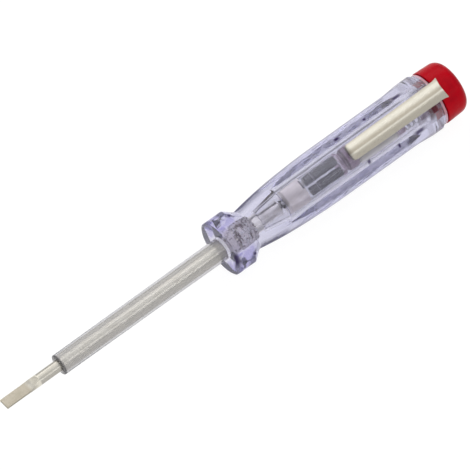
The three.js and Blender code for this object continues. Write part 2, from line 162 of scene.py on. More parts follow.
SPRING_WIRE_RADIUS = 0.3
SPRING_RADIUS = 2.3
SPRING_PITCH = 1.65
SPRING_END_PITCH = 0.62

CLIP_TOP = 9.35
CLIP_THICKNESS = 0.45
CLIP_FRONT_WIDTH = 4.4
CLIP_REAR_WIDTH = 5.1
CLIP_FLARE_WIDTH = 5.8
CLIP_FLARE_LENGTH = 1.8
CLIP_NOTCH = 0.5
CLIP_NOTCH_LENGTH = 3.0
CLIP_END_RADIUS = 0.9
CLIP_END_LENGTH = 2.3
CLIP_LIP_BOTTOM = 7.95
CLIP_LIP_LENGTH = 2.5
CLIP_LIP_BEND = 0.8
CLIP_BROKEN_EDGE = 0.07
CLIP_CREST = -0.85
CLIP_CREST_SOFTNESS = 0.10
CLIP_UPPER_BOW = 0.052
CLIP_LOWER_SLOPE = math.radians(27)
LEG_FRONT = 133.65
LEG_WIDTH = 3.8
TAB_WIDTH = 2.4
TAB_START = 3.0
TAB_NARROWING = 0.6
SEAM_HEIGHT = 6.4
SEAM_GAP = 0.1
TONGUE_DROP = 0.62
TONGUE_LENGTH = 1.4
TONGUE_BEND = 0.75
FOOT_TOP = 2.858
FOOT_REACH = 2.2
FOOT_BEND = 0.3

CAP_RADIUS = 7.25
CAP_TAPER = 0.2
CAP_FACE_RADIUS = 4.8
CAP_EDGE_LENGTH = 2.4
CAP_ROUNDING = 0.25
PLUG_FLAT = 2.108
PLUG_LENGTH = 2.5
NOTCH_GAP = 0.3
CUTTER_SPARE = 2.0


def span(node):
    """Where a node of the solids begins and ends along the tool."""
    low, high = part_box(node)
    return low.x / MM + TOOL_LENGTH / 2, high.x / MM + TOOL_LENGTH / 2


# Node trees
class Socket:
    """An output of a node. Sums with it add Math nodes to its tree."""

    def __init__(self, tree, node, output):
        self.tree = tree
        self.node = node
        self.socket = node.outputs[output]

    def other(self, output):
        return Socket(self.tree, self.node, output)

    def maths(self, operation, *values):
        return self.tree.maths(operation, self, *values)

    __add__ = __radd__ = partialmethod(maths, "ADD")
    __mul__ = __rmul__ = partialmethod(maths, "MULTIPLY")
    __sub__ = partialmethod(maths, "SUBTRACT")
    __truediv__ = partialmethod(maths, "DIVIDE")
    __mod__ = partialmethod(maths, "FLOORED_MODULO")

    def __rsub__(self, value):
        return self.tree.maths("SUBTRACT", value, self)


class Tree:
    """A node tree, which starts empty, and the nodes that a maker adds to it."""

    def __init__(self, tree):
        self.tree = tree
        tree.nodes.clear()

    def add(self, kind, sockets=None, output=0, **settings):
        node = self.tree.nodes.new(kind)
        for name, value in settings.items():
            setattr(node, name, value)
        for name, value in (sockets or {}).items():
            if isinstance(value, Socket):
                self.tree.links.new(value.socket, node.inputs[name])
            else:
                node.inputs[name].default_value = value
        return Socket(self, node, output) if node.outputs else node

    def maths(self, operation, *values):
        return self.add("ShaderNodeMath", dict(enumerate(values)), operation=operation)

    def limit(self, value, low=0.0, high=1.0):
        return self.maths("MINIMUM", self.maths("MAXIMUM", value, low), high)

    def vector(self, x, y, z):
        return self.add("ShaderNodeCombineXYZ", {"X": x, "Y": y, "Z": z})

    def parts(self, vector):
        split = self.add("ShaderNodeSeparateXYZ", {"Vector": vector})
        return split, split.other("Y"), split.other("Z")


class Rule(Tree):
    """A geometry tree with named sizes. It works in millimetres and hands over metres in the tool's place."""

    def __init__(self, name, lengths, counts):
        super().__init__(bpy.data.node_groups.new(name, "GeometryNodeTree"))
        face = self.tree.interface
        face.new_socket("outline", in_out="INPUT", socket_type="NodeSocketGeometry")
        kinds = {**dict.fromkeys(lengths, "Float"), **dict.fromkeys(counts, "Int"), "finish": "Material"}
        for size, kind in kinds.items():
            face.new_socket(size, in_out="INPUT", socket_type="NodeSocket" + kind)
        face.new_socket("piece", in_out="OUTPUT", socket_type="NodeSocketGeometry")
        self.given = self.add("NodeGroupInput")

    def size(self, name):
        return self.given.other(name)

    def tube(self, path, radius, sides):
        """A round tube along a curve, with closed ends."""
        section = self.add("GeometryNodeCurvePrimitiveCircle", {"Resolution": sides, "Radius": radius})
        return self.add("GeometryNodeCurveToMesh", {
            "Curve": path,
            "Profile Curve": section,
            "Fill Caps": True,
        })

    def end(self, shape, merge=0.0005):
        """The whole rule, with this shape for its piece."""
        joined = self.add("GeometryNodeMergeByDistance", {"Geometry": shape, "Distance": merge})
        smooth = self.add("GeometryNodeSetShadeSmooth", {"Geometry": joined})
        placed = self.add("GeometryNodeTransform", {
            "Geometry": smooth,
            "Translation": TOOL_PLACE,
            "Rotation": (TOOL_LEAN, 0, 0),
            "Scale": (MM, MM, MM),
        })
        real = self.add("GeometryNodeRealizeInstances", {"Geometry": placed})
        done = self.add("GeometryNodeSetMaterial", {"Geometry": real, "Material": self.size("finish")})
        self.add("NodeGroupOutput", {"piece": done})
        return self

    def make(self, name, finish, points=((0, 0, 0),), edges=(), **sizes):
        """A plain mesh object that follows the rule, which may have an outline of points and edges."""
        mesh = bpy.data.meshes.new(name)
        mesh.from_pydata([tuple(point) for point in points], edges, [])
        carrier = in_scene("rule_" + name, mesh)
        modifier = carrier.modifiers.new("rule", "NODES")
        modifier.node_group = self.tree
        sizes["finish"] = FINISHES[finish]
        for item in self.tree.interface.items_tree:
            if item.name in sizes:
                modifier[item.identifier] = sizes[item.name]
        return plain(carrier, name)


def in_scene(name, data):
    """A new object of the scene that holds the data."""
    thing = bpy.data.objects.new(name, data)
    bpy.context.scene.collection.objects.link(thing)
    return thing


def plain(carrier, name):
    """What a carrier's modifiers make of it, as a plain mesh object with its faces outwards."""
    depsgraph = bpy.context.evaluated_depsgraph_get()
    mesh = bpy.data.meshes.new_from_object(carrier.evaluated_get(depsgraph), depsgraph=depsgraph)
    bpy.data.objects.remove(carrier)
    return outwards(name, mesh)


def outwards(name, mesh, sharp=SHARP_ANGLE, merge=0.0):
    """A mesh as an object with its faces outwards, its edges sharp past an angle, and one material slot."""
    shell = bmesh.new()
    shell.from_mesh(mesh)
    if merge:
        bmesh.ops.remove_doubles(shell, verts=shell.verts, dist=merge)
    bmesh.ops.dissolve_degenerate(shell, dist=1e-8, edges=shell.edges)
    bmesh.ops.recalc_face_normals(shell, faces=shell.faces)
    shell.to_mesh(mesh)
    shell.free()
    mesh.set_sharp_from_angle(angle=sharp)
    finish = next(material for material in mesh.materials if material)
    mesh.materials.clear()
    mesh.materials.append(finish)
    mesh.name = name
    return in_scene(name, mesh)


# Rules for the shapes
def turned_rule():
    """A body turned about the axis. Each point of its outline holds a place, a radius and a flat's height."""
    rule = Rule("turned body", ("softness", "sideways"), ("steps",))
    outline = rule.size("outline")
    steps = rule.size("steps")
    count = rule.add("GeometryNodeAttributeDomainSize", {"Geometry": outline}, "Point Count")
    index = rule.add("GeometryNodeInputIndex")
    grid = rule.add("GeometryNodeMeshGrid", {"Vertices X": count, "Vertices Y": steps + 1})
    station = (index / (steps + 1)).maths("FLOOR")
    turn = (index - station * (steps + 1)) * (2 * math.pi) / steps
    here = rule.add("GeometryNodeSampleIndex", {
        "Geometry": outline,
        "Value": rule.add("GeometryNodeInputPosition"),
        "Index": station,
    }, data_type="FLOAT_VECTOR")
    place, radius, height = rule.parts(here)
    facet = turn % (2 * math.pi / FLATS) - math.pi / FLATS
    flat = height / facet.maths("COSINE")
    reach = radius.maths("SMOOTH_MIN", flat, rule.size("softness"))
    across = reach * turn.maths("SINE") + rule.size("sideways")
    up = reach * turn.maths("COSINE")
    spot = rule.vector(place, across, up)
    return rule.end(rule.add("GeometryNodeSetPosition", {"Geometry": grid, "Position": spot}))


def wire_rule():
    """A round wire along a path, with its bends rounded."""
    rule = Rule("wire", ("radius", "bend"), ("sides",))
    path = rule.add("GeometryNodeMeshToCurve", {"Mesh": rule.size("outline")})
    bent = rule.add("GeometryNodeFilletCurve", {
        "Curve": path,
        "Count": 8,
        "Radius": rule.size("bend"),
        "Limit Radius": True,
    }, mode="POLY")
    return rule.end(rule.tube(bent, rule.size("radius"), rule.size("sides")))


def coil_rule():
    """A compression spring with one closed turn at each end."""
    lengths = ("front", "length", "radius", "wire_radius", "pitch", "end_pitch")
    rule = Rule("coil", lengths, ("steps", "sides"))
    front, length, radius, wire, pitch, end_pitch = (rule.size(name) for name in lengths)
    active = (length - wire * 2 - end_pitch * 2) / pitch
    line = rule.add("GeometryNodeCurvePrimitiveLine")
    fine = rule.add("GeometryNodeResampleCurve", {"Curve": line, "Count": rule.size("steps")})
    turns = rule.add("GeometryNodeSplineParameter") * (active + 2)
    closed = rule.limit(turns) + rule.limit(turns - active - 1)
    opened = rule.limit(turns - 1, 0.0, active)
    place = front + wire + closed * end_pitch + opened * pitch
    angle = turns * (2 * math.pi)
    spot = rule.vector(place, angle.maths("SINE") * radius, angle.maths("COSINE") * radius)
    path = rule.add("GeometryNodeSetPosition", {"Geometry": fine, "Position": spot})
    return rule.end(rule.tube(path, wire, rule.size("sides")))


def knurl_rule():
    """Rows of pointed teeth round the rod, each row half a tooth on from the last."""
    lengths = ("front", "length", "root_radius", "depth")
    rule = Rule("knurl", lengths, ("teeth", "rows"))
    front, length, root, depth = (rule.size(name) for name in lengths)
    teeth = rule.size("teeth")
    rows = rule.size("rows")
    index = rule.add("GeometryNodeInputIndex")
    row = (index / teeth).maths("FLOOR")
    angle = (index % teeth + row * 0.5) * (2 * math.pi) / teeth
    row_length = length / rows
    spot = rule.vector(
        front + row_length * (row + 0.5),
        angle.maths("SINE") * root * -1,
        angle.maths("COSINE") * root,
    )
    points = rule.add("GeometryNodePoints", {"Count": teeth * rows, "Position": spot})
    cone = rule.add("GeometryNodeMeshCone", {
        "Vertices": 4,
        "Radius Top": KNURL_POINT,
        "Radius Bottom": row_length * KNURL_OVERLAP,
        "Depth": depth,
    }, fill_type="NGON")
    tooth = rule.add("GeometryNodeTransform", {
        "Geometry": cone,
        "Scale": rule.vector(1, root * (2 * math.pi) / teeth / row_length * 0.5, 1),
    })
    shape = rule.add("GeometryNodeInstanceOnPoints", {
        "Points": points,
        "Instance": tooth,
        "Rotation": rule.vector(angle, 0, 0),
    })
    return rule.end(rule.add("GeometryNodeRealizeInstances", {"Geometry": shape}), 0.0)


TURNED = turned_rule()
WIRE = wire_rule()
COIL = coil_rule()
KNURL = knurl_rule()


# Finishes
class Finish(Tree):
    """A material. Its places are in millimetres along, across and above the tool's axis."""

    def __init__(self, name, turn=0.0, **sockets):
        self.name = name
        self.material = bpy.data.materials.new(name)
        self.material.use_nodes = True
        super().__init__(self.material.node_tree)
        self.shader = self.add("ShaderNodeBsdfPrincipled", {
            socket.replace("_", " "): value for socket, value in sockets.items()
        })
        self.output = self.add("ShaderNodeOutputMaterial", {"Surface": self.shader})
        self.place = self.add("ShaderNodeMapping", {
            "Vector": self.add("ShaderNodeTexCoord", output="Object"),
            "Location": TOOL_PLACE,
            "Rotation": (TOOL_LEAN + turn, 0, 0),
            "Scale": (MM, MM, MM),
        }, vector_type="TEXTURE")
        self.along, self.across, self.up = self.parts(self.place)

    def feed(self, colour, roughness, bumps):
        """Feeds the shader a colour, a roughness from what spread takes, and bumps from what relief takes."""
        fed = {"Base Color": colour, "Normal": self.relief(*bumps)}
        if roughness:
            fed["Roughness"] = self.spread(*roughness)
        for name, value in fed.items():
            self.tree.links.new(value.socket, self.shader.node.inputs[name])
        return self

    def cover(self, colour, share):
        """A dull film of a colour over the finish, as thick as its share."""
        film = self.add("ShaderNodeBsdfPrincipled", {
            "Base Color": colour,
            "Roughness": 1.0,
            "Specular IOR Level": 0.0,
        })
        covered = self.add("ShaderNodeMixShader", {0: share, 1: self.shader, 2: film})
        self.tree.links.new(covered.socket, self.output.inputs["Surface"])

    def spread(self, value, low, high, to_low=0.0, to_high=1.0):
        """A value's range from low to high, spread over another, with soft ends."""
        values = dict(enumerate((value, low, high, to_low, to_high)))
        return self.add("ShaderNodeMapRange", values, interpolation_type="SMOOTHSTEP")

    def until(self, value, start, end):
        """1 up to the start, and 0 past the end."""
        return self.spread(value, start, end, 1.0, 0.0)

    def between(self, value, start, end, softness):
        """1 between two values and 0 beyond them."""
        return self.spread(value, start, start + softness) * self.until(value, end - softness, end)

    def near(self, value, middle, core, edge):
        """1 where a value is within core of the middle, 0 where it is more than edge away."""
        return self.until((value - middle).maths("ABSOLUTE"), core, edge)

    def noise(self, along, around, detail=3.0, roughness=0.55, distortion=0.0):
        """Noise from 0 to 1. The first two values say how fine it is along and around the tool."""
        stretch = (along, around, around)
        return self.add("ShaderNodeTexNoise", {
            "Vector": self.add("ShaderNodeVectorMath", {0: self.place, 1: stretch}, operation="MULTIPLY"),
            "Scale": 1.0,
            "Detail": detail,
            "Roughness": roughness,
            "Distortion": distortion,
        })

    def mix(self, share, first, second):
        """The first colour, or the second where the share is 1."""
        first, second = ((*c, 1.0) if isinstance(c, tuple) else c for c in (first, second))
        return self.add("ShaderNodeMix", {0: share, 6: first, 7: second}, 2, data_type="RGBA")

    def relief(self, height, depth):
        """Bumps as deep as depth, in millimetres, where height runs from 0 to 1."""
        return self.add("ShaderNodeBump", {"Strength": 1.0, "Distance": depth * MM, "Height": height})


def metal(name, light, dark, roughness, stretch, depth, shadow_line=None):
    """Plated or drawn metal. A shadow line is a painted shadow across it: its place, its middle across and
    half its length.
    """
    finish = Finish(name, Metallic=1.0)
    grain = finish.noise(*stretch, 4.0)
    patches = finish.spread(finish.noise(0.5, 0.5), 0.35, 0.7)
    tone = finish.limit(grain * 0.7 + patches * 0.4)
    colour = finish.mix(tone, light, dark)
    if shadow_line:
        place, middle, half_length = shadow_line
        shadow = finish.near(finish.along, place, 0.14, 0.3)
        shadow = shadow * finish.near(finish.across, middle, half_length - 0.3, half_length)
        colour = finish.mix(shadow * 0.85, colour, (0.06, 0.05, 0.08))
    return finish.feed(
        colour,
        (grain + patches * 0.3, 0.2, 1.0, roughness - 0.08, roughness + 0.12),
        (grain, depth),
    )


def blade_steel():
    """Bright drawn rod, duller and browner where the tip is ground, with painted shade off its centre line,
    painted highlight and shade lines in the sleeve, and painted light on the grinding's run-out and on its
    tail.
    """
    finish = Finish("blade_steel", Metallic=1.0)
    along, across = finish.along, finish.across
    drawn = finish.noise(0.03, 6.0, 4.0)
    ground = finish.noise(7.0, 0.35, 5.0, 0.65)
    patches = finish.spread(finish.noise(0.35, 0.6, 4.0), 0.42, 0.68)
    on_tip = finish.until(along, TIP_FLAT_LENGTH + 0.7, TIP_FLAT_LENGTH + 2.2)
    # Painted light: the grinding's run-out is painted paler.
    run_out = finish.spread(along, GRINDING_END - 2.5, GRINDING_END - 1.3)
    run_out = run_out * finish.until(along, GRINDING_END - 0.3, GRINDING_END + 0.2)
    in_sleeve = finish.spread(along, SLEEVE_START, SLEEVE_START + 1.0)
    by_knurl = finish.spread(along, KNURL_FRONT - 1.6, KNURL_FRONT - 1.2)
    by_knurl = by_knurl * finish.until(along, KNURL_FRONT + 0.1, KNURL_FRONT + 0.2)
    # Painted light: the tail behind the knurl is painted paler than the rest of the rod.
    lit_tail = finish.spread(along, KNURL_REAR, KNURL_REAR + 0.4)
    # Painted shade darkens the rod off its centre line, which leaves a painted highlight along the middle.
    shaded_off_centre = finish.spread((across + 0.12).maths("ABSOLUTE"), 0.25, 0.95)
    grain = on_tip * ground + (1 - on_tip) * drawn
    steel = finish.mix(on_tip, (0.68, 0.66, 0.60), (0.46, 0.42, 0.35))
    steel = finish.mix(by_knurl, steel, (0.34, 0.29, 0.31))
    steel = finish.mix(shaded_off_centre * (1 - on_tip) * (1 - lit_tail) * 0.8, steel, (0.42, 0.40, 0.36))
    # Painted highlight and shade lines along the rod where the sleeve covers it.
    for place, half_width, shade in PAINTED_SHEEN_LINES:
        line = finish.near(across, place, half_width * 0.4, half_width)
        steel = finish.mix(line * in_sleeve * (1 - lit_tail) * 0.8, steel, shade)
    steel = finish.mix(lit_tail, steel, (0.98, 0.96, 0.92))
    return finish.feed(
        finish.mix(
            patches * 0.5 + grain * 0.4,
            finish.mix(run_out, steel, (0.92, 0.88, 0.77)),
            finish.mix(on_tip, (0.54, 0.51, 0.44), (0.36, 0.33, 0.26)),
        ),
        (grain + on_tip * 0.35 + run_out * 0.3, 0.2, 1.1, 0.24, 0.50),
        (grain, 0.006),
    )


def clip_nickel():
    """Nickel plating with painted shade along the strip's upper edge, just above its crest and below it."""
    finish = Finish("clip_nickel", CLIP_TURN, Metallic=1.0)
    across = finish.across
    grain = finish.noise(0.9, 5.0, 5.0, 0.65)
    # Painted shade on the upper edge and on either side of the crest.
    shaded_upper_edge = finish.spread(across, 1.5, 2.5)
    shaded_above_crest = finish.until(across, 0.0, 1.3) * finish.spread(across, -0.55, -0.15)
    shaded_below_crest = finish.until(across, -0.95, -0.65)
    tone = finish.limit(shaded_upper_edge * 0.8 + shaded_above_crest + shaded_below_crest * 0.6 + (grain - 0.5) * 0.7)
    return finish.feed(
        finish.mix(tone, (0.68, 0.65, 0.57), (0.43, 0.39, 0.32)),
        (grain, 0.2, 0.8, 0.24, 0.36),
        (grain, 0.003),
    )


# Pale teeth with painted dark specks of shade and painted glints.
def knurled_steel():
    finish = Finish("knurled_steel", Metallic=0.05)
    shade_specks = finish.spread(finish.noise(1.2, 1.5, 3.0, 0.7), 0.50, 0.56)
    painted_glints = finish.spread(finish.noise(1.4, 1.7, 1.0), 0.56, 0.60)
    speckled = finish.mix(shade_specks, (1.0, 0.95, 0.95), (0.20, 0.15, 0.16))
    return finish.feed(
        finish.mix(painted_glints, speckled, (1.0, 0.99, 1.0)),
        (shade_specks, 0.0, 1.0, 0.22, 0.5),
        (shade_specks, 0.05),
    )


def clear_sleeve():
    """A drawn clear tube with painted shade on its sides. Films paint shade on its front end, and pale light
    with dark specks of shade on what the collar holds.
    """
    finish = Finish("clear_sleeve", Transmission_Weight=0.78, IOR=1.5)
    collar_front = span("handle")[0]
    drawn = finish.noise(0.02, 1.6, 1.0)
    cloud = finish.noise(0.1, 0.4, 2.0)
    clear = finish.mix(drawn * 0.5 + cloud * 0.4, (0.94, 0.935, 0.94), (0.85, 0.845, 0.855))
    # Painted shade on the tube's sides.
    painted_side_shading = finish.spread(finish.across.maths("ABSOLUTE"), 1.9, 2.5)
    finish.feed(
        finish.mix(painted_side_shading, clear, (0.58, 0.575, 0.60)),
        (cloud, 0.3, 0.8, 0.03, 0.10),
        (drawn, 0.002),
    )
    # Painted light with painted dark specks over what the collar holds, and painted shade on the front end.
    in_collar = finish.spread(finish.along, collar_front, collar_front + 0.6)
    shade_specks = finish.spread(finish.noise(1.6, 2.0, 2.0, 0.7), 0.54, 0.62)
    shaded_front_end = finish.until(finish.along, SLEEVE_START + 0.15, SLEEVE_START + 0.6)
    shaded_front_end = shaded_front_end * finish.spread(finish.up, -1.0, 0.6)
    film = finish.mix(shade_specks, (1.0, 0.95, 0.97), (0.16, 0.10, 0.14))
    finish.cover(finish.mix(shaded_front_end, film, (0.07, 0.065, 0.075)), in_collar * 0.85 + shaded_front_end * 0.55)
    return finish


def clear_handle():
    """Clear plastic with a violet tint that pools in the collar, painted paler over the blade there as
    painted light, and flow lines from its moulding.
    """
    finish = Finish("clear_handle", Transmission_Weight=1.0, IOR=1.49)
    flow = finish.noise(0.16, 0.5, 2.0, 0.5, 0.8)
    scuffs = finish.noise(1.4, 5.0, 5.0, 0.7)
    pools = finish.spread(finish.noise(0.35, 0.35, 2.0, 0.5, 0.5), 0.38, 0.56)
    on_collar = finish.until(finish.along, COLLAR_REAR, COLLAR_REAR + 2.0)
    # Painted light: near the blade the collar's tint is painted pale.
    beside_blade = finish.spread(finish.across.maths("ABSOLUTE"), 2.8, 4.0)
    tint = finish.mix(finish.spread(flow, 0.3, 0.7), (0.91, 0.905, 0.94), (0.83, 0.825, 0.88))
    violet = finish.mix(pools, (0.84, 0.82, 0.94), (0.40, 0.36, 0.70))
    violet = finish.mix(beside_blade, (0.98, 0.965, 0.975), violet)
    finish.feed(finish.mix(on_collar, tint, violet), (scuffs, 0.62, 0.8, 0.10, 0.18), (flow, 0.06))
    cover_handle(finish)
    absorbing = finish.add("ShaderNodeVolumeAbsorption", {
        "Color": (0.54, 0.53, 0.80, 1.0),
        "Density": 52.0,
    })
    finish.tree.links.new(absorbing.socket, finish.output.inputs["Volume"])
    return finish


def cover_handle(finish):
    """Films on the handle that paint the light, shade and reflections that come from inside it."""

    def patch(start, end, softness, middle, core, edge):
        """A patch on the near side, from its start to its end along and about its middle across."""
        across_it = finish.near(finish.across, middle, core, edge)
        return finish.between(along, start, end, softness) * across_it * near_side

    along, across, up = finish.along, finish.across, finish.up
    rear = span("handle")[1]
    clip_front = span("pocket_clip")[0]
    radius = (across * across + up * up).maths("SQRT")
    side = across.maths("ABSOLUTE")
    near_side = finish.spread(up, 0.0, 2.0)
    below = finish.until(across, -1.0, 1.0)
    outside = finish.spread(radius, 4.6, 5.0) * finish.spread(up, -0.4, 0.0)
    on_bore = finish.until(radius, BORE_RADIUS + 0.1, BORE_RADIUS + 0.3)
    clouds = finish.spread(finish.noise(0.4, 0.9), 0.42, 0.58)
    sparkle = finish.until(finish.noise(1.5, 1.5, 1.0), 0.42, 0.5)

    # Painted reflection of the red cap on the rim's outer edge.
    rim_cap_reflection = finish.spread(along, rear - 0.75, rear - 0.55) * finish.spread(radius, 6.6, 6.9)
    behind_grip = finish.between(along, rear - 4.0, rear - 1.6, 0.6)
    # Painted shade: the plug behind the wall is painted dark red, and the clip's foot dark purple.
    shaded_plug_image = patch(rear - 4.0, rear - 1.6, 0.6, -2.4, 0.9, 1.3)
    shaded_foot_patch = patch(rear - 7.4, rear - 4.3, 0.5, -2.5, 0.4, 0.8)
    # Painted reflection of the clip in the handle's wall.
    clip_reflection = patch(clip_front + 0.95, clip_front + 14.95, 2.0, -2.4, 0.6, 1.0)
    # Painted light on the handle's sides, in clouds, and more on the side below.
    painted_side_shading = finish.between(side, 4.2, 6.5, 0.55) * finish.until(along, rear - 13.5, rear - 12.0)
    painted_side_shading = painted_side_shading * finish.spread(along, BORE_CONE_REAR, BORE_CONE_REAR + 8.0)
    # Painted shade along the edges of the sides, more on the upper side, and on the waist's sides.
    shaded_edge = finish.between(along, COLLAR_REAR + 2.0, rear - 6.0, 1.6)
    shaded_edge = shaded_edge * finish.spread(side / radius, 0.90, 0.96) * outside
    shaded_waist = finish.between(along, COLLAR_REAR + 2.0, WAIST_PLACE + 9.0, 2.0)
    shaded_waist = shaded_waist * finish.spread(side / radius, 0.74, 0.86) * outside
    # Painted shade: a dark line along the edge of the bore's cone.
    cone_shade_line = finish.between(along, BORE_CONE_FRONT, BORE_CONE_REAR + 0.3, 0.2)
    cone_shade_line = cone_shade_line * finish.spread(along, BORE_CONE_FRONT, BORE_CONE_REAR - 2.0, 0.5, 1.0)
    cone_shade_line = cone_shade_line * finish.spread(across / radius, 0.86, 0.95) * finish.spread(up, -0.2, 0.1)
    by_solder = finish.near(along, BORE_CONE_REAR - 0.6, 0.5, 0.8) * finish.near(across, 0.1, 0.8, 1.1)
    # Painted shade in dark spots on the near side of the wall.
    shade_spots = 0
    for place, middle, half_length, half_width in SHADE_SPOTS:
        mark = finish.near(along, place, half_length * 0.2, half_length * 1.2)
        shade_spots = shade_spots + mark * finish.near(across, middle, half_width * 0.2, half_width * 1.2)
    shade_spots = finish.limit(shade_spots * near_side * finish.spread(radius, 5.4, 6.0))

    colour = (0.52, 0.51, 0.59)
    share = HAZE + behind_grip * 0.2
    for where, shade, thickness in (
        (rim_cap_reflection, (0.78, 0.42, 0.48), 0.5),
        (shaded_plug_image, (0.12, 0.02, 0.03), 0.5),
        (shaded_foot_patch, (0.12, 0.06, 0.10), 0.4),
        (painted_side_shading, (0.50, 0.49, 0.66), 0.16),
        (painted_side_shading * clouds, (0.56, 0.55, 0.72), 0.22),
        (painted_side_shading * below, (0.50, 0.49, 0.66), 0.18),
        (shaded_edge, (0.16, 0.155, 0.22), 0.3),
        (shaded_edge * (1 - below), (0.16, 0.155, 0.22), 0.2),
        (shaded_waist, (0.16, 0.155, 0.24), 0.25),
        (clip_reflection * outside, (0.60, 0.59, 0.60), 0.4),
        (shade_spots, (0.05, 0.035, 0.10), 0.8),
        (cone_shade_line * on_bore, (0.05, 0.03, 0.03), 0.95),
        (by_solder * near_side * on_bore * sparkle, (0.02, 0.015, 0.015), 0.95),
    ):
        colour = finish.mix(where, colour, shade)
        share = share + where * thickness
    finish.cover(colour, finish.limit(share))


def solder():
    """A blob of flux and metal: bright beads in black, whose glints are painted into their colour."""
    finish = Finish("solder", Metallic=0.1)
    # The beads' white colour holds their painted glints.
    glinting_beads = finish.spread(finish.noise(1.3, 1.3, 1.0), 0.54, 0.58)
    return finish.feed(
        finish.mix(glinting_beads, (0.02, 0.015, 0.015), (1.0, 0.99, 0.97)),
        (glinting_beads, 0.0, 1.0, 0.45, 0.2),
        (glinting_beads, 0.1),
    )


def lamp_glass():
    """Clear glass with a faint film, and a painted reflection of the resistor's colour in its rear end."""
    finish = Finish("lamp_glass", Transmission_Weight=1.0, IOR=1.47)
    rear = span("lamp_glass")[1]
    film = finish.noise(0.7, 0.9)
    resistor_reflection = finish.spread(finish.along, rear - 1.4, rear - 0.9)
    clear = finish.mix(film, (1.0, 1.0, 1.0), (0.93, 0.94, 0.95))
    return finish.feed(
        finish.mix(resistor_reflection, clear, (0.62, 0.50, 0.58)),
        (film, 0.3, 0.9, 0.0, 0.05),
        (film, 0.01),
    )


def painted(name, light, dark, roughness, stretch, depth):
    """Lacquer or fired clay: a mottled colour with a fine skin."""
    finish = Finish(name)
    mottle = finish.noise(*stretch, 4.0)
    skin = finish.noise(*(6 * fineness for fineness in stretch))
    return finish.feed(
        finish.mix(finish.spread(mottle, 0.3, 0.72), light, dark),
        (mottle * 0.6 + skin * 0.4, 0.3, 0.7, roughness - 0.06, roughness + 0.1),
        (skin, depth),
    )


def electrode_metal():
    finish = Finish("electrode_metal", Metallic=0.3, Roughness=0.5)
    mottle = finish.spread(finish.noise(1.1, 2.2, 4.0, 0.6), 0.35, 0.65)
    groove = span("front_electrode")[0] + ELECTRODE_FOOT + ELECTRODE_GROOVE / 2
    weld = finish.near(finish.along, groove, 0.12, 0.42)
    dark = finish.mix(mottle, (0.130, 0.135, 0.170), (0.060, 0.063, 0.085))
    return finish.feed(finish.mix(weld * 0.8, dark, (0.40, 0.40, 0.46)), None, (mottle, 0.03))


def red_plastic():
    finish = Finish("red_plastic", Specular_IOR_Level=0.07)
    mottle = finish.noise(0.4, 0.4)
    skin = finish.noise(4.0, 4.0, 4.0)
    # Painted shade: the cap is darker towards its rear end.
    shaded_rear_end = finish.spread(finish.along, TOOL_LENGTH - 2.4, TOOL_LENGTH - 0.4)
    tone = finish.spread(mottle + shaded_rear_end * 0.25, 0.35, 0.9)
    return finish.feed(
        finish.mix(tone, (0.485, 0.0, 0.008), (0.37, 0.0, 0.008)),
        (skin * 0.5 + mottle * 0.5, 0.3, 0.7, 0.22, 0.38),
        (skin, 0.006),
    )


# A painted shadow lies across the lamp's cup near its open end: place along, place across and half length.
CUP_RIM_SHADOW = (span("lamp_front_cap")[1] - 0.3, 1.0, 1.0)
FINISHES = {finish.name: finish.material for finish in (
    blade_steel(),
    knurled_steel(),
    clear_sleeve(),
    clear_handle(),
    lamp_glass(),
    red_plastic(),
    clip_nickel(),
    solder(),
    electrode_metal(),
    metal("lamp_cap_nickel", (1.0, 0.95, 0.88), (0.90, 0.83, 0.76), 0.42, (3.0, 1.5), 0.008, CUP_RIM_SHADOW),
    metal("bright_wire", (0.82, 0.81, 0.78), (0.58, 0.57, 0.54), 0.30, (0.5, 6.0), 0.004),
    metal("spring_steel", (0.86, 0.86, 0.85), (0.62, 0.62, 0.60), 0.25, (2.0, 4.0), 0.004),
    painted("resistor_lacquer", (0.76, 0.60, 0.67), (0.58, 0.38, 0.49), 0.4, (0.9, 0.9), 0.01),
    painted("resistor_ceramic", (0.72, 0.68, 0.58), (0.58, 0.53, 0.44), 0.6, (1.2, 1.2), 0.02),
)}


# Outlines
def soften(outline, radius, closed=False):
    """The same outline with each corner rounded by up to a radius. Points may have any number of values."""
    points = [np.array(point, float) for point in outline]
    count = len(points)
    soft = []
    for i, point in enumerate(points):
        if not closed and i in (0, count - 1):
            soft.append(point)
            continue
        before = points[i - 1] - point
        after = points[(i + 1) % count] - point
        lengths = [np.linalg.norm(side[:2]) for side in (before, after)]
        straight = np.dot(before[:2], after[:2]) / (lengths[0] * lengths[1]) < NEARLY_STRAIGHT
        cut = min(radius, MOST_OF_SIDE * min(lengths))
        if straight or cut < LEAST_ROUNDING:
            soft.append(point)
            continue
        start = point + before * (cut / lengths[0])
        end = point + after * (cut / lengths[1])
        for share in np.linspace(0, 1, 5):
            soft.append((1 - share) ** 2 * start + 2 * share * (1 - share) * point + share**2 * end)
    if closed:
        soft.append(soft[0])
    return soft


def round_outline(outline):
    """An outline of places and radii, for the turned rule."""
    return [(place, max(radius, 0.0), NO_FLATS) for place, radius in outline]


def turned(name, outline, finish, steps=64, softness=0.0, sideways=0.0):
    """A body turned about the axis from places, radii and flats' heights."""
    return TURNED.make(name, finish, outline, steps=steps, softness=softness, sideways=sideways)


def turned_solid(name, outline, finish, rounding=0.15, closed=False, **more):
    """A turned body with round corners, whose outline starts and ends on the axis."""
    return turned(name, round_outline(soften(outline, rounding, closed)), finish, **more)


# A ring's outline closes on itself instead.
turned_ring = partial(turned_solid, closed=True)


def settle(piece, slot, *nodes, body="tester"):
    """Puts a finished piece under its body's empty, and hides the nodes of the solids that it takes the place
    of.
    """
    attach(piece, body)
    if nodes:
        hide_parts(*nodes)


def rod(front, rear, radius):
    return [(front, 0.0), (front, radius), (rear, radius), (rear, 0.0)]


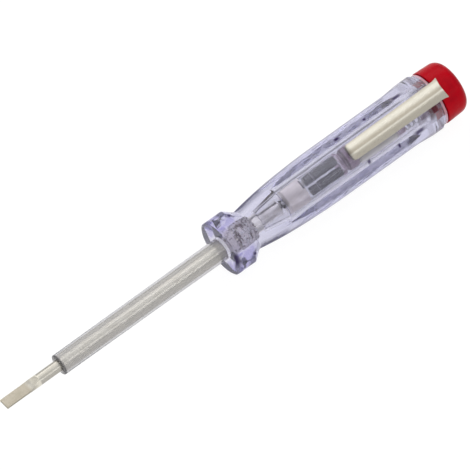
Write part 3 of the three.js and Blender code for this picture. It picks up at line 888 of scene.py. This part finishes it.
# Blade
def skinned(name, rings, place, finish):
    """A smooth mesh over closed rings of points in their order, with a face on each end."""
    count = len(rings[0])
    faces = [list(range(count)), list(range((len(rings) - 1) * count, len(rings) * count))]
    for i in range(len(rings) - 1):
        for j in range(count):
            k = (j + 1) % count
            faces.append([i * count + j, i * count + k, (i + 1) * count + k, (i + 1) * count + j])
    mesh = bpy.data.meshes.new(name)
    mesh.from_pydata([place @ Vector(point) for ring in rings for point in ring], [], faces)
    mesh.materials.append(FINISHES[finish])
    mesh.shade_smooth()
    return mesh


def half_thickness(place):
    """Half the blade's thickness between its two ground faces."""
    past = max(place - TIP_FLAT_LENGTH, 0.0)
    if past >= GRINDING_RADIUS:
        return BLADE_RADIUS
    rise = GRINDING_RADIUS - math.sqrt(GRINDING_RADIUS**2 - past**2)
    return min(TIP_THICKNESS / 2 + rise, BLADE_RADIUS)


def blade_ring(place, radius, half):
    """Points round one section: two ground faces and two rounded sides."""
    start = math.acos(min(half / radius, 1.0))
    ring = []
    for side in (1, -1):
        edge = radius * math.sin(start)
        ring += [(place, side * across, side * half) for across in np.linspace(-edge, edge, 13)[:-1]]
        angles = np.linspace(start, math.pi - start, 37)[:-1]
        ring += [(place, side * radius * math.sin(a), side * radius * math.cos(a)) for a in angles]
    return ring


def blade_rings():
    """Sections of the rod, with its ground tip and its chamfered tail."""
    rear = span("blade")[1]
    places = [
        *np.linspace(TIP_BEVEL, TIP_FLAT_LENGTH, 14),
        *np.linspace(TIP_FLAT_LENGTH, GRINDING_END, 20)[1:],
        *np.linspace(GRINDING_END, rear - BLADE_CHAMFER, 40)[1:],
    ]
    return [
        blade_ring(0.0, BLADE_RADIUS - TIP_BEVEL, TIP_THICKNESS / 2 - TIP_BEVEL),
        *(blade_ring(place, BLADE_RADIUS, half_thickness(place)) for place in places),
        blade_ring(rear, BLADE_RADIUS - BLADE_CHAMFER, BLADE_RADIUS - BLADE_CHAMFER),
    ]


flat_place = Matrix.Translation(TOOL_PLACE) @ Matrix.Scale(MM, 4)
blade = skinned("blade_rod", blade_rings(), flat_place, "blade_steel")
settle(outwards("blade_rod", blade, BLADE_SHARP_ANGLE, 0.0001 * MM), "blade_steel", "blade")

knurl = KNURL.make(
    "blade_knurl",
    "knurled_steel",
    front=KNURL_FRONT,
    length=KNURL_REAR - KNURL_FRONT,
    root_radius=KNURL_RADIUS - KNURL_DEPTH / 2,
    depth=KNURL_DEPTH,
    teeth=KNURL_TEETH,
    rows=KNURL_ROWS,
)
settle(knurl, "blade_steel")
core = rod(KNURL_FRONT, KNURL_REAR, KNURL_RADIUS - KNURL_DEPTH)
settle(turned_solid("blade_knurl_core", core, "knurled_steel"), "blade_steel")

# Sleeve
sleeve_front, sleeve_rear = span("blade_sleeve")
sleeve = turned_ring("sleeve_tube", [
    (sleeve_front, ROD_BORE),
    (sleeve_front, SLEEVE_FRONT_RADIUS),
    (sleeve_rear, SLEEVE_REAR_RADIUS),
    (sleeve_rear, ROD_BORE),
], "clear_sleeve", 0.06, steps=96)
settle(sleeve, "clear_sleeve", "blade_sleeve")


# Handle
def grip_flat_height(place, radius, rear):
    """How far the flats are from the axis: they begin behind the waist and run out towards the rear."""
    past = max(place - (rear - RUN_OUT_DISTANCE), 0.0)
    cut = (GRIP_RADIUS - GRIP_APOTHEM) / GRIP_RADIUS * min((place - WAIST_PLACE) / FLAT_RUN_IN, 1.0)
    return radius * (1 - cut) + RUN_OUT_RADIUS - math.sqrt(RUN_OUT_RADIUS**2 - past**2)


def handle_outline():
    """The outside from the collar's front to the rim, and the bore from there back to the collar."""
    front, rear = span("handle")
    rise = GRIP_RADIUS - WAIST_RADIUS
    bulge = (SWELL_LENGTH**2 + rise**2) / (2 * rise)
    seat = SLEEVE_REAR_RADIUS + FIT_GAP
    collar = soften([
        (front, seat),
        (front, COLLAR_RADIUS - COLLAR_CHAMFER),
        (front + COLLAR_CHAMFER, COLLAR_RADIUS),
        (COLLAR_REAR, COLLAR_RADIUS),
        (WAIST_PLACE, WAIST_RADIUS),
        (WAIST_PLACE + WAIST_BLEND, WAIST_RADIUS + WAIST_BLEND * 2 * rise / SWELL_LENGTH),
    ], COLLAR_ROUNDING)[:-1]
    swell = []
    for left in np.linspace(SWELL_LENGTH - WAIST_BLEND, 0.0, 60):
        swell.append((WAIST_PLACE + SWELL_LENGTH - left, GRIP_RADIUS - bulge + math.sqrt(bulge**2 - left**2)))
    grip_end = rear - RIM_LENGTH - RIM_CHAMFER
    run_out = rear - RUN_OUT_DISTANCE
    places = [
        *np.linspace(WAIST_PLACE + SWELL_LENGTH, run_out - STATION_GAP, 11)[1:],
        *np.linspace(run_out, grip_end - STATION_GAP, 26),
    ]
    grip = [(place, GRIP_RADIUS) for place in places]
    back = soften([
        (grip_end - CORNER_LEAD, GRIP_RADIUS),
        (grip_end, GRIP_RADIUS),
        (rear - RIM_LENGTH, RIM_RADIUS),
        (rear, RIM_RADIUS),
        (rear, BORE_RADIUS),
        (BORE_CONE_REAR, BORE_RADIUS),
        (BORE_CONE_REAR, BORE_RADIUS - LAMP_SEAT),
        (BORE_CONE_FRONT, BORE_CONE_RADIUS),
        (BORE_CONE_FRONT, ROD_BORE),
        (KNURL_REAR - WETTED, ROD_BORE),
        (KNURL_REAR - WETTED, KNURL_BORE),
        (KNURL_FRONT + WETTED, KNURL_BORE),
        (KNURL_FRONT + WETTED, ROD_BORE),
        (sleeve_rear + FIT_GAP, ROD_BORE),
        (sleeve_rear + FIT_GAP, seat),
        (front, seat),
    ], BORE_ROUNDING)
    # Flats cut only the outside, which the outline leaves where it comes down to the bore.
    stations = []
    outside = True
    for place, radius in [*collar, *swell, *grip, *back]:
        outside = (outside and radius > BORE_RADIUS) or (place < WAIST_PLACE and radius > seat)
        height = NO_FLATS
        if outside:
            height = COLLAR_APOTHEM if place < WAIST_PLACE else grip_flat_height(place, radius, rear)
        stations.append((place, radius, height))
    return stations


handle = turned("handle_moulding", handle_outline(), "clear_handle", steps=288, softness=FLAT_EDGE_SOFTNESS)
settle(handle, "clear_handle", "handle")


# Lamp
def arc(start, end, count):
    """A quarter of an ellipse that sets out across the tool and arrives along it."""
    return [
        (end[0] + (start[0] - end[0]) * math.cos(a), start[1] + (end[1] - start[1]) * math.sin(a))
        for a in np.linspace(0, math.pi / 2, count)
    ]


def cup(closed_end, open_end, radius, wall, hole):
    """The outline of a drawn cup, with a hole in its closed end."""
    inside = closed_end + math.copysign(wall, open_end - closed_end)
    return [
        (closed_end, hole),
        (closed_end, radius),
        (open_end, radius),
        (open_end, radius - wall),
        (inside, radius - wall),
        (inside, hole),
    ]


for name, node, radius, finish in (
    ("front_solder_joint", "front_solder_bead", FRONT_SOLDER_RADIUS, "solder"),
    ("rear_solder_joint", "rear_solder_bead", REAR_SOLDER_RADIUS, "resistor_lacquer"),
):
    front, rear = span(node)
    bead = [*arc((front, 0.0), (rear, radius), 9), (rear, 0.0)]
    settle(turned_solid(name, bead, finish, 0.1), "solder", node)

lamp_front, lamp_cap_rear = span("lamp_front_cap")
hole = LEAD_RADIUS + FIT_GAP
lamp_cup = cup(lamp_front, lamp_cap_rear, LAMP_CAP_RADIUS, LAMP_CAP_WALL, hole)
settle(
    turned_ring("lamp_cup", lamp_cup, "lamp_cap_nickel", 0.3, steps=96),
    "lamp_cap_nickel",
    "lamp_front_cap",
)

glass_front, glass_rear = span("lamp_glass")
shoulder = glass_rear - GLASS_SHOULDER
envelope = turned_ring("lamp_envelope", [
    (glass_front, GLASS_RADIUS - GLASS_WALL),
    (glass_front, GLASS_RADIUS),
    (shoulder, GLASS_RADIUS),
    (glass_rear, GLASS_NECK_RADIUS),
    (glass_rear, GLASS_NECK_RADIUS - GLASS_WALL),
    (shoulder, GLASS_RADIUS - GLASS_WALL),
], "lamp_glass", 0.3, steps=96)
settle(envelope, "lamp_glass", "lamp_glass")

stem_front, stem_rear = span("lamp_stem")
pinch = turned_ring("lamp_pinch", [
    (stem_front, hole),
    (stem_front, STEM_RADIUS),
    (stem_rear - STEM_RADIUS, STEM_RADIUS),
    (stem_rear, hole + GLASS_WALL),
    (stem_rear, hole),
], "lamp_glass", 0.3)
settle(pinch, "lamp_glass", "lamp_stem")

for name, node, radius, sideways in (
    ("electrode_rod_front", "front_electrode", ELECTRODE_RADII[0], ELECTRODE_OFFSET),
    ("electrode_rod_rear", "rear_electrode", ELECTRODE_RADII[1], -ELECTRODE_OFFSET),
):
    front, rear = span(node)
    groove_front = front + ELECTRODE_FOOT
    groove_rear = groove_front + ELECTRODE_GROOVE
    groove = radius - ELECTRODE_GROOVE_DEPTH
    electrode = turned_solid(name, [
        (front, 0),
        (front, radius),
        (groove_front, radius),
        (groove_front, groove),
        (groove_rear, groove),
        (groove_rear, radius),
        (rear, radius),
        (rear, 0),
    ], "electrode_metal", 0.12, steps=40, sideways=sideways)
    settle(electrode, "electrode_metal", node)


def lead(name, node, points, radius):
    """A bright wire along points, each a place and how far off the axis it is."""
    path = [(place, across, 0) for place, across in points]
    edges = [(i, i + 1) for i in range(len(path) - 1)]
    wire = WIRE.make(name, "bright_wire", path, edges, radius=radius, bend=3 * radius, sides=20)
    settle(wire, "bright_wire", node)


lead("lamp_lead_front", "front_lead", [
    (lamp_front, 0),
    (stem_rear + 2 * LEAD_RADIUS, 0),
    (span("front_electrode")[0] - WELD_GAP, ELECTRODE_OFFSET),
], LEAD_RADIUS)
lead("lamp_lead_rear", "rear_lead", [(x, -ELECTRODE_OFFSET) for x in span("rear_lead")], LEAD_RADIUS)
lead("resistor_wire", "resistor_lead", [(x, 0) for x in span("resistor_lead")], RESISTOR_LEAD_RADIUS)

# Resistor
for name, node, ends in (
    ("resistor_end_front", "resistor_front_cap", span("resistor_front_cap")),
    ("resistor_end_rear", "resistor_rear_cap", reversed(span("resistor_rear_cap"))),
):
    end_cap = cup(*ends, RESISTOR_CAP_RADIUS, RESISTOR_CAP_WALL, 0.0)
    settle(turned_ring(name, end_cap, "resistor_lacquer", 0.3), "resistor_lacquer", node)
core = rod(*span("resistor_core"), RESISTOR_RADIUS)
settle(turned_solid("resistor_body", core, "resistor_ceramic"), "resistor_ceramic", "resistor_core")

# Contact spring
spring_front, spring_rear = span("contact_spring")
spring = COIL.make(
    "spring_coil",
    "spring_steel",
    front=spring_front,
    length=spring_rear - spring_front,
    radius=SPRING_RADIUS,
    wire_radius=SPRING_WIRE_RADIUS,
    pitch=SPRING_PITCH,
    end_pitch=SPRING_END_PITCH,
    steps=320,
    sides=12,
)
settle(spring, "spring_steel", "contact_spring")


# Clip and foot
def sheet_metal(name, rings):
    """A strip of the clip's metal from rings of points round it, with its edges broken."""
    carrier = in_scene("strip_" + name, skinned(name, rings, CLIP_PLACE, "clip_nickel"))
    edge = carrier.modifiers.new("edge", "BEVEL")
    edge.width = CLIP_BROKEN_EDGE * MM
    edge.segments = 3
    edge.limit_method = "ANGLE"
    edge.angle_limit = math.radians(50)
    return plain(carrier, name)


def divided(path, shares):
    """The path with points at these shares of each stretch, without its last point."""
    return [start + (end - start) * share for start, end in zip(path[:-1], path[1:]) for share in shares]


def strip_rings(path, half_width, drop):
    """Rings round a strip that follows a path of (along, up) points on its outer side."""
    path = [np.array(point) for point in path]
    travelled = 0.0
    rings = []
    for i, point in enumerate(path):
        direction = path[min(i + 1, len(path) - 1)] - path[max(i - 1, 0)]
        direction /= np.linalg.norm(direction)
        inwards = np.array((direction[1], -direction[0]))
        travelled += np.linalg.norm(point - path[i - 1]) if i else 0.0
        spread = half_width(travelled) * np.linspace(-1, 1, 65)
        ring = []
        for depth, places in ((0.0, spread), (CLIP_THICKNESS, reversed(spread))):
            for across in places:
                along, up = point + inwards * (drop(across, travelled) + depth)
                ring.append((along, across, up))
        rings.append(ring)
    return rings


def crest_drop(across):
    """How far the strip falls away from its crest, which the photo shows off its middle."""
    past = across - CLIP_CREST
    if past > 0:
        return CLIP_UPPER_BOW * past**2
    return math.tan(CLIP_LOWER_SLOPE) * (math.hypot(past, CLIP_CREST_SOFTNESS) - CLIP_CREST_SOFTNESS)


def clip_rings():
    """Sections of the clip's strip, from its turned-down lip to its notched rear end."""
    front, rear = span("pocket_clip")
    bend = (front + CLIP_LIP_LENGTH, CLIP_TOP)
    lip = soften([(front, CLIP_LIP_BOTTOM), (front, CLIP_TOP), bend], CLIP_LIP_BEND)
    path = divided(lip, (0, 1 / 3, 2 / 3))
    path += [(place, CLIP_TOP) for place in np.linspace(bend[0], rear, 60)]
    lip_height = CLIP_TOP - CLIP_LIP_BOTTOM
    whole = rear - front + lip_height

    def half_width(travelled):
        wide = CLIP_FRONT_WIDTH + (CLIP_REAR_WIDTH - CLIP_FRONT_WIDTH) * travelled / whole
        flare = max(travelled - (whole - CLIP_FLARE_LENGTH), 0.0) / CLIP_FLARE_LENGTH
        wide += (CLIP_FLARE_WIDTH - CLIP_REAR_WIDTH) * flare**1.6
        short = max(1 - travelled / CLIP_END_LENGTH, 0.0)
        return wide / 2 - CLIP_END_RADIUS * (1 - math.sqrt(1 - short**2))

    def drop(across, travelled):
        return crest_drop(across) * min(travelled / lip_height, 1.0)

    notched = []
    for ring in strip_rings(path, half_width, drop):
        pull = max(1 - (rear - ring[0][0]) / CLIP_NOTCH_LENGTH, 0.0) ** 2
        half = abs(ring[0][1])
        notched.append([
            (along - pull * CLIP_NOTCH * (1 - (across / half) ** 2) ** 1.5, across, up)
            for along, across, up in ring
        ])
    return notched


def flat(across, travelled):
    """The drop of a strip that is flat across."""
    return 0.0


settle(sheet_metal("clip_strip", clip_rings()), "clip_nickel", "pocket_clip", body="clip")

leg_rear = LEG_FRONT + CLIP_THICKNESS
tongue = soften([
    (leg_rear - TONGUE_LENGTH, CLIP_TOP - TONGUE_DROP),
    (leg_rear, CLIP_TOP - TONGUE_DROP),
    (leg_rear, SEAM_HEIGHT + SEAM_GAP),
], TONGUE_BEND)


def tongue_half_width(travelled):
    narrow = min(max((travelled - TAB_START) / TAB_NARROWING, 0.0), 1.0)
    return (LEG_WIDTH + (TAB_WIDTH - LEG_WIDTH) * narrow) / 2


tongue_rings = strip_rings([*divided(tongue, (0, 0.34, 0.67)), tongue[-1]], tongue_half_width, flat)
settle(sheet_metal("clip_tongue", tongue_rings), "clip_nickel", body="clip")

foot_face = span("clip_foot")[0] + CLIP_THICKNESS
foot = soften([
    (leg_rear, SEAM_HEIGHT),
    (leg_rear, FOOT_TOP - CLIP_THICKNESS),
    (foot_face, FOOT_TOP - CLIP_THICKNESS),
    (foot_face, -FOOT_REACH),
], FOOT_BEND)
foot_rings = strip_rings(foot, lambda travelled: TAB_WIDTH / 2, flat)
settle(sheet_metal("clip_contact_foot", foot_rings), "clip_nickel", "clip_foot")


# Cap
def block(low, high):
    """A block in the clip's directions, for cutting with."""
    size = Vector(high) - Vector(low)
    centre = (Vector(high) + Vector(low)) / 2
    place = CLIP_PLACE @ Matrix.Translation(centre) @ Matrix.Diagonal((*size, 1.0))
    shell = bmesh.new()
    bmesh.ops.create_cube(shell, size=1.0, matrix=place)
    mesh = bpy.data.meshes.new("block")
    shell.to_mesh(mesh)
    shell.free()
    return in_scene("block", mesh)


def cut(piece, *blocks):
    """The piece without what the blocks cover, as a new object of the same name."""
    name = piece.name
    piece.name = "uncut_" + name
    for cutter in blocks:
        away = piece.modifiers.new("cut", "BOOLEAN")
        away.operation = "DIFFERENCE"
        away.solver = "EXACT"
        away.object = cutter
    done = plain(piece, name)
    for cutter in blocks:
        bpy.data.objects.remove(cutter)
    return done


cap_front, cap_rear = span("cap")
cap_face = cap_front + PLUG_LENGTH
cap_side = (cap_rear - CAP_EDGE_LENGTH, CAP_RADIUS - CAP_TAPER)
cap_outline = soften([
    (cap_front, 0),
    (cap_front, BORE_RADIUS + WETTED),
    (cap_face, BORE_RADIUS + WETTED),
    (cap_face, CAP_RADIUS),
    *reversed(arc((cap_rear, CAP_FACE_RADIUS), cap_side, 16)),
    (cap_rear, 0),
], CAP_ROUNDING)
whole_cap = turned("cap_moulding", round_outline(cap_outline), "red_plastic", steps=128)
notch = TAB_WIDTH / 2 + NOTCH_GAP
spare = CUTTER_SPARE
cap = cut(
    whole_cap,
    block((cap_face - spare, -notch, PLUG_FLAT), (leg_rear + NOTCH_GAP, notch, CAP_RADIUS + spare)),
    block((cap_front - spare, -CAP_RADIUS, PLUG_FLAT), (cap_face, CAP_RADIUS, CAP_RADIUS)),
)
settle(cap, "red_plastic", "cap", body="cap")


# Floor, light and camera
FLOOR_REACH = 4
FLOOR_GLOW = 1.09
WHITE = (1.0, 1.0, 1.0, 1.0)
VIEW_DISTANCE = 5.0
VIEW_TILT = math.radians(18.7)
VIEW_RISE = math.radians(60.4)
VIEW_TURN = math.radians(35.65)
SENSOR_WIDTH = 36
PIXELS = 470
PIXELS_PER_MM = 4.158
CENTRE_OFFSET = Vector((6.1, 8.2)) * MM / PIXELS_PER_MM


def by_ray(tree, base, **shares):
    """A base value, with a share more for each kind of ray that looks, up to 1."""
    rays = tree.add("ShaderNodeLightPath")
    for kind, share in shares.items():
        base = base + rays.other(f"Is {kind} Ray") * share
    return tree.limit(base)


floor_mesh = bpy.data.meshes.new("floor")
corners = [(side * FLOOR_REACH, end * FLOOR_REACH, 0) for side, end in ((-1, -1), (1, -1), (1, 1), (-1, 1))]
floor_mesh.from_pydata(corners, [], [(0, 1, 2, 3)])
floor = in_scene("floor", floor_mesh)
paper = bpy.data.materials.new("paper")
paper.use_nodes = True
sheet = Tree(paper.node_tree)
matt = sheet.add("ShaderNodeBsdfDiffuse", {"Color": (0.93, 0.93, 0.94, 1.0)})
glow = sheet.add("ShaderNodeEmission", {"Color": WHITE, "Strength": FLOOR_GLOW})
shown = by_ray(sheet, 0.0, Camera=0.85, Glossy=0.42, Transmission=0.6)
both = sheet.add("ShaderNodeMixShader", {0: shown, 1: matt, 2: glow})
sheet.add("ShaderNodeOutputMaterial", {"Surface": both})
floor_mesh.materials.append(paper)

world = bpy.data.worlds.new("studio")
world.use_nodes = True
bpy.context.scene.world = world
air = Tree(world.node_tree)
brightness = by_ray(air, 0.65, Camera=0.35, Transmission=0.2)
room = air.add("ShaderNodeBackground", {"Color": WHITE, "Strength": brightness})
air.add("ShaderNodeOutputWorld", {"Surface": room})


def lamp(name, place, size, strength):
    """A soft box that faces the middle of the tool. Its strength is what a mirror would show of it."""
    light = bpy.data.lights.new(name, "AREA")
    light.shape = "RECTANGLE"
    light.size, light.size_y = size
    light.energy = strength * size[0] * size[1] * math.pi
    holder = in_scene(name, light)
    holder.location = place
    holder.rotation_mode = "QUATERNION"
    holder.rotation_quaternion = Vector(place).to_track_quat("Z", "Y")


lamp("overhead_box", (0.30, 0.17, 0.90), (1.6, 0.36), 0.85)
lamp("back_box", (0.20, 0.75, 0.66), (1.5, 0.45), 1.5)
lamp("front_strip", (0.32, -0.85, 0.50), (1.3, 0.07), 3.2)

towards = Vector((
    -math.sin(VIEW_TILT),
    -math.cos(VIEW_TILT) * math.cos(VIEW_RISE),
    math.cos(VIEW_TILT) * math.sin(VIEW_RISE),
))
tool_right = (Vector((1, 0, 0)) - towards * towards.x).normalized()
tool_up = towards.cross(tool_right)
right = tool_right * math.cos(VIEW_TURN) - tool_up * math.sin(VIEW_TURN)
above = tool_right * math.sin(VIEW_TURN) + tool_up * math.cos(VIEW_TURN)
target = Vector((0, 0, GRIP_RADIUS * MM)) + right * CENTRE_OFFSET.x + above * CENTRE_OFFSET.y
view = bpy.data.cameras.new("camera")
view.sensor_width = SENSOR_WIDTH
view.lens = SENSOR_WIDTH * VIEW_DISTANCE / (PIXELS / PIXELS_PER_MM * MM)
view.clip_end = 4 * VIEW_DISTANCE
camera = in_scene("camera", view)
facing = Matrix((right, above, towards)).transposed().to_4x4()
camera.matrix_world = Matrix.Translation(target + towards * VIEW_DISTANCE) @ facing
bpy.context.scene.camera = camera
bpy.context.scene.view_settings.view_transform = "Standard"
